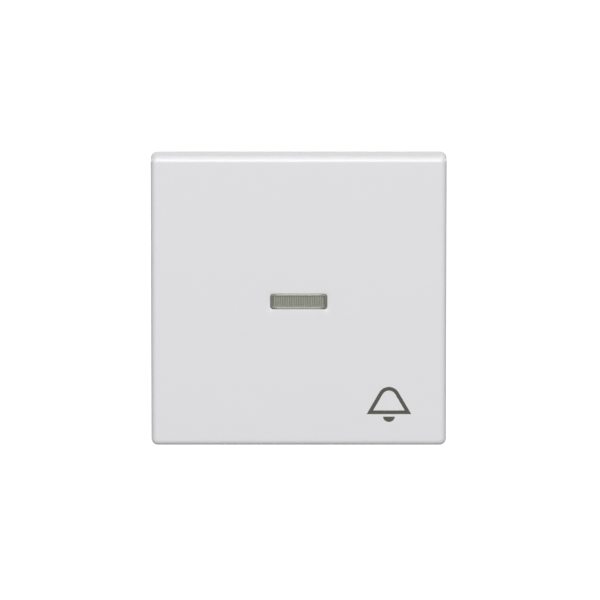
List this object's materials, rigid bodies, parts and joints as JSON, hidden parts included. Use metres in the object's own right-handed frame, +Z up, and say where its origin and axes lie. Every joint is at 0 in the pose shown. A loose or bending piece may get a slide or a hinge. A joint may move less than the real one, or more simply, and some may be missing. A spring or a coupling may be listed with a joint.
{
  "type": "doorbell push button",
  "caption": "Flush doorbell push: square white rocking button with a fluted lens and a bell sign, on a sprung contact insert with lamp, terminals, support plate and claws.",
  "frame": {"origin": "centre of the support plate's back, in the plane of the wall", "axes": "+Y into the wall, +Z up, the button faces -Y, +X to the right of someone facing it"},
  "size_m": [0.055, 0.0285, 0.055],
  "materials": {
    "white_gloss_plastic": "moulded, high gloss white",
    "clear_lens": "clear polycarbonate, moulded flutes",
    "pale_grey_plastic": "moulded, fine matt",
    "dark_grey_plastic": "moulded, fine matt",
    "grey_plastic": "moulded thermoset, matt",
    "zinc_plated_steel": "pressed sheet, zinc plated",
    "screw_steel": "turned, zinc plated",
    "spring_steel": "drawn wire",
    "brass_strip": "stamped strip",
    "contact_silver": "silver alloy, headed",
    "board_laminate": "solder mask over laminate",
    "led_resin": "clear cast resin",
    "resistor_lacquer": "dipped lacquer",
    "diode_resin": "moulded resin"
  },
  "bodies": {
    "frame": {"support_plate": "zinc_plated_steel", "base_housing": "grey_plastic", "mechanism_cover": "dark_grey_plastic", "cover_screws": "screw_steel", "return_spring": "spring_steel", "common_strip": "brass_strip", "fixed_strip": "brass_strip", "fixed_contact": "contact_silver", "contact_spring": "spring_steel", "lamp_board": "board_laminate", "led": "led_resin", "resistor": "resistor_lacquer", "diode": "diode_resin", "lamp_strip_upper": "brass_strip", "lamp_strip_lower": "brass_strip", "terminal_washers": "zinc_plated_steel", "terminal_screws": "screw_steel", "claw_screw_right": "screw_steel", "claw_screw_left": "screw_steel"},
    "button": {"button_plate": "white_gloss_plastic", "lens": "clear_lens", "rocker_carrier": "pale_grey_plastic"},
    "contact_lever": {"contact_arm": "brass_strip", "moving_contact": "contact_silver"},
    "right_claw": {"claw_right": "zinc_plated_steel"},
    "left_claw": {"claw_left": "zinc_plated_steel"}
  },
  "joints": [
    {"name": "button_press", "type": "hinge", "parent": "frame", "child": "button", "pos_m": [0, -0.0047, 0], "axis": [1, 0, 0], "range_deg": [0, 4], "stiffness_Nm_per_rad": 0.3, "springref_deg": -5.73, "deforming": ["return_spring"]},
    {"name": "contact_swing", "type": "hinge", "parent": "frame", "child": "contact_lever", "pos_m": [-0.009, 0.004, 0.0074], "axis": [1, 0, 0], "range_deg": [0, 1.84], "deforming": ["contact_spring"]},
    {"name": "claw_draw_right", "type": "slide", "parent": "frame", "child": "right_claw", "axis": [0.2588, -0.9659, 0], "range_m": [0, 0.0108]},
    {"name": "claw_draw_left", "type": "slide", "parent": "frame", "child": "left_claw", "axis": [-0.2588, -0.9659, 0], "range_m": [0, 0.0108]}
  ],
  "couplings": [
    {"joint": "contact_swing", "follows": "button_press", "ratio": 0.455}
  ]
}
